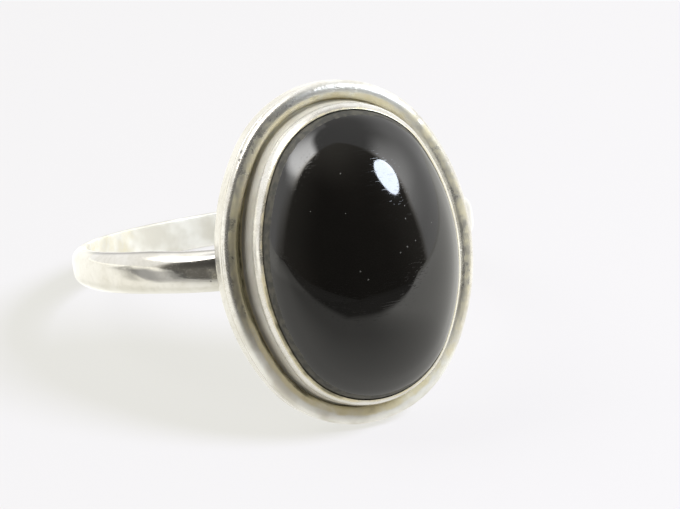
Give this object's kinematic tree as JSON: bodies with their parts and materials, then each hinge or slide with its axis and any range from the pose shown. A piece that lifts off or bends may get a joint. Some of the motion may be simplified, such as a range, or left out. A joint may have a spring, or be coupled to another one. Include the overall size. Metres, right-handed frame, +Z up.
{
  "type": "oval cabochon ring",
  "caption": "Finger ring: an oval black onyx cabochon in a plain bezel, with a round border wire about it, on a slim tapered band.",
  "frame": {"origin": "on the surface that the ring lies on, at the middle of the ring's box", "axes": "+Z up, -Y the way the head faces, +X to the right as the head is looked at; the ring is the same on both sides of the YZ plane"},
  "size_m": [0.0198, 0.0242, 0.0156],
  "materials": {
    "silver": "polished sterling silver, worn smooth, with a dark tarnished groove round the bezel",
    "onyx": "polished black onyx, glossy"
  },
  "bodies": {
    "root": {"silver_setting": "silver", "onyx_cabochon": "onyx"}
  },
  "joints": []
}
